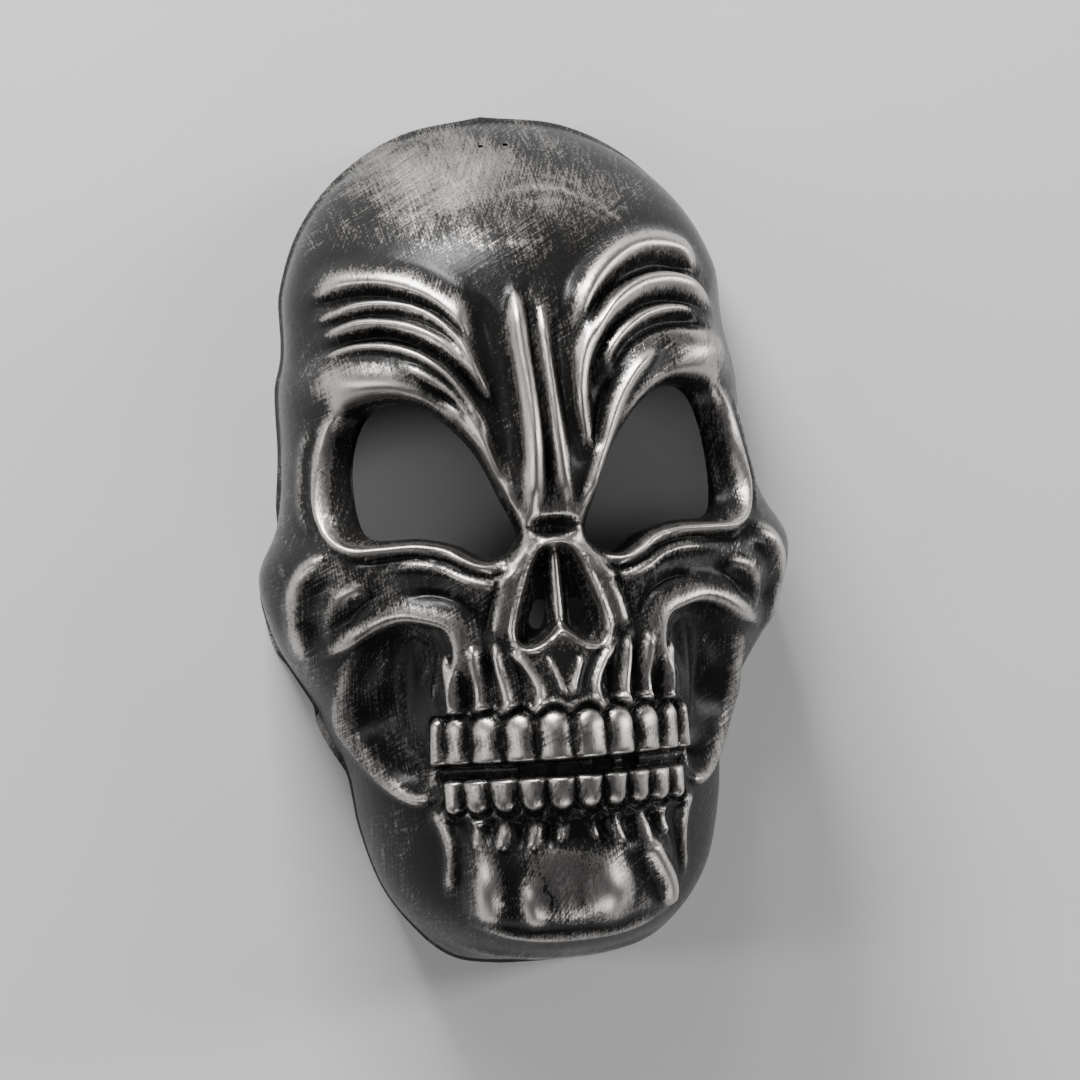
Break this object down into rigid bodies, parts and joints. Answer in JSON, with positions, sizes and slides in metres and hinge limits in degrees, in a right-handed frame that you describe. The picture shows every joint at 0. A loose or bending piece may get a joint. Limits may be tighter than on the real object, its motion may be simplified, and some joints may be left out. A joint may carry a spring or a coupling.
{
  "type": "skull mask",
  "caption": "Rigid face mask moulded as a skull, with eye openings, nostril and mouth slots, lace holes and an open hollow back.",
  "frame": {"origin": "centre of the bounding box at the plane of the rim, on which the mask lies face up", "axes": "+Z out of the face, +Y toward the forehead, +X to the right of a person who looks at the face"},
  "size_m": [0.1654, 0.2644, 0.0912],
  "materials": {
    "painted_plastic": "glossy black plastic, dry-brushed with silver paint on the raised forms"
  },
  "bodies": {
    "root": {"mask_shell": "painted_plastic"}
  },
  "joints": []
}
